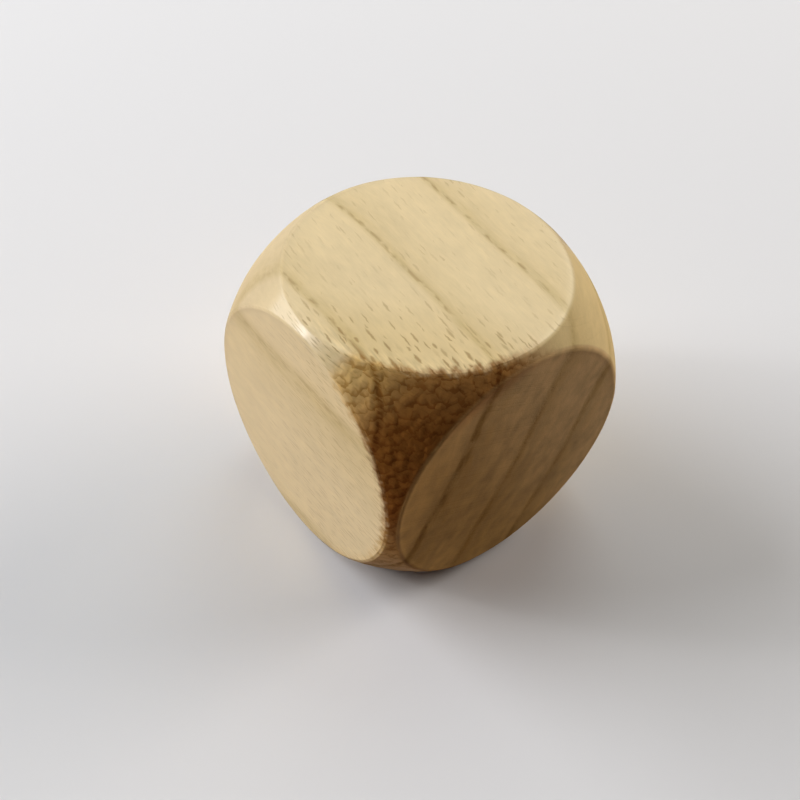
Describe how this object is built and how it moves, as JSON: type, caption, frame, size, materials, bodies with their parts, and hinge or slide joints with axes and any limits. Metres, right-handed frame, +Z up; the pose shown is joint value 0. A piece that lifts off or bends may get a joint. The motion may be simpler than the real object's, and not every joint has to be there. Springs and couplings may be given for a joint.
{
  "type": "wooden cube",
  "caption": "Small solid beech cube with ball-rounded corners, round flat faces and softly eased rims, blank on every side.",
  "frame": {"origin": "centre of the bottom flat, on the surface the cube stands on", "axes": "+X along the grain, out of one end-grain flat; +Y out of a side-grain flat; +Z up, out of the other side-grain flat"},
  "size_m": [0.016, 0.016, 0.016],
  "materials": {
    "wood": "fine-sanded straight-grained beech with a thin satin seal"
  },
  "bodies": {
    "root": {"wooden_cube": "wood"}
  },
  "joints": []
}
